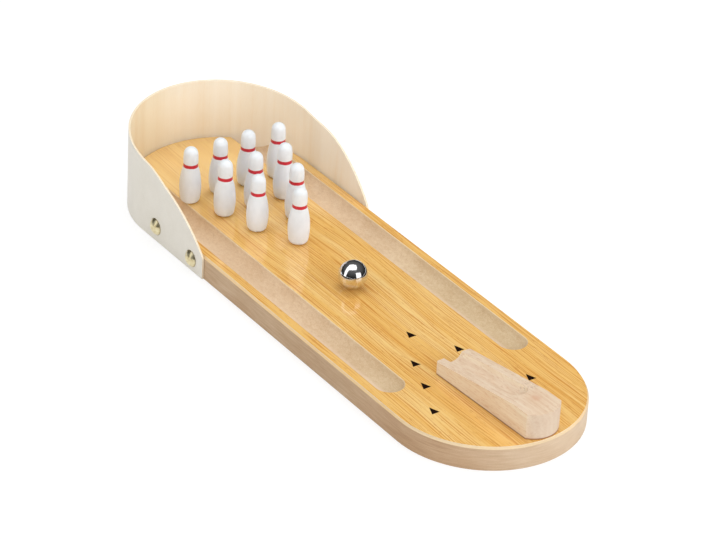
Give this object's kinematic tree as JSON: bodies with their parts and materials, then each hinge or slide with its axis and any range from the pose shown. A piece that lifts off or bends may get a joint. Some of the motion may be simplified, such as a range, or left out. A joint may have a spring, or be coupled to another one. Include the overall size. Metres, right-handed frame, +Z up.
{
  "type": "tabletop bowling game",
  "caption": "Tabletop bowling lane: round-ended board with routed gutters, bent wood backstop held by domed nails, turned pins, steel ball and grooved launch ramp.",
  "frame": {"origin": "on the table, in the middle of the whole game's footprint", "axes": "+Z up, +Y down the lane from the player to the pins, +X to the player's right"},
  "size_m": [0.1076, 0.3276, 0.0473],
  "materials": {
    "mdf": "bare sawn and routed fibreboard, matt",
    "lane_print": "satin film printed as golden oak",
    "bent_ply": "maple-faced inside, off-white outside, satin",
    "brass": "polished brass plate",
    "steel": "polished bearing steel",
    "beech": "sanded bare beech",
    "pin_paint": "turned wood, white satin paint with a red neck band"
  },
  "bodies": {
    "lane": {"base_board": "mdf", "lane_film": "lane_print", "backstop": "bent_ply", "backstop_nails": "brass"},
    "ball": {"ball": "steel"},
    "ramp": {"ramp": "beech"},
    "pin_1": {"pin_1": "pin_paint"},
    "pin_2": {"pin_2": "pin_paint"},
    "pin_3": {"pin_3": "pin_paint"},
    "pin_4": {"pin_4": "pin_paint"},
    "pin_5": {"pin_5": "pin_paint"},
    "pin_6": {"pin_6": "pin_paint"},
    "pin_7": {"pin_7": "pin_paint"},
    "pin_8": {"pin_8": "pin_paint"},
    "pin_9": {"pin_9": "pin_paint"},
    "pin_10": {"pin_10": "pin_paint"}
  },
  "joints": [
    {"name": "ball_roll", "type": "slide", "parent": "lane", "child": "ball", "axis": [0, 1, 0], "range_m": [-0.073, 0.0365]},
    {"name": "ramp_aim", "type": "slide", "parent": "lane", "child": "ramp", "axis": [1, 0, 0], "range_m": [-0.012, 0.012]},
    {"name": "pin_1_lift", "type": "slide", "parent": "lane", "child": "pin_1", "axis": [0, 0, 1], "range_m": [0, 0.045]},
    {"name": "pin_2_lift", "type": "slide", "parent": "lane", "child": "pin_2", "axis": [0, 0, 1], "range_m": [0, 0.045]},
    {"name": "pin_3_lift", "type": "slide", "parent": "lane", "child": "pin_3", "axis": [0, 0, 1], "range_m": [0, 0.045]},
    {"name": "pin_4_lift", "type": "slide", "parent": "lane", "child": "pin_4", "axis": [0, 0, 1], "range_m": [0, 0.045]},
    {"name": "pin_5_lift", "type": "slide", "parent": "lane", "child": "pin_5", "axis": [0, 0, 1], "range_m": [0, 0.045]},
    {"name": "pin_6_lift", "type": "slide", "parent": "lane", "child": "pin_6", "axis": [0, 0, 1], "range_m": [0, 0.045]},
    {"name": "pin_7_lift", "type": "slide", "parent": "lane", "child": "pin_7", "axis": [0, 0, 1], "range_m": [0, 0.045]},
    {"name": "pin_8_lift", "type": "slide", "parent": "lane", "child": "pin_8", "axis": [0, 0, 1], "range_m": [0, 0.045]},
    {"name": "pin_9_lift", "type": "slide", "parent": "lane", "child": "pin_9", "axis": [0, 0, 1], "range_m": [0, 0.045]},
    {"name": "pin_10_lift", "type": "slide", "parent": "lane", "child": "pin_10", "axis": [0, 0, 1], "range_m": [0, 0.045]}
  ]
}
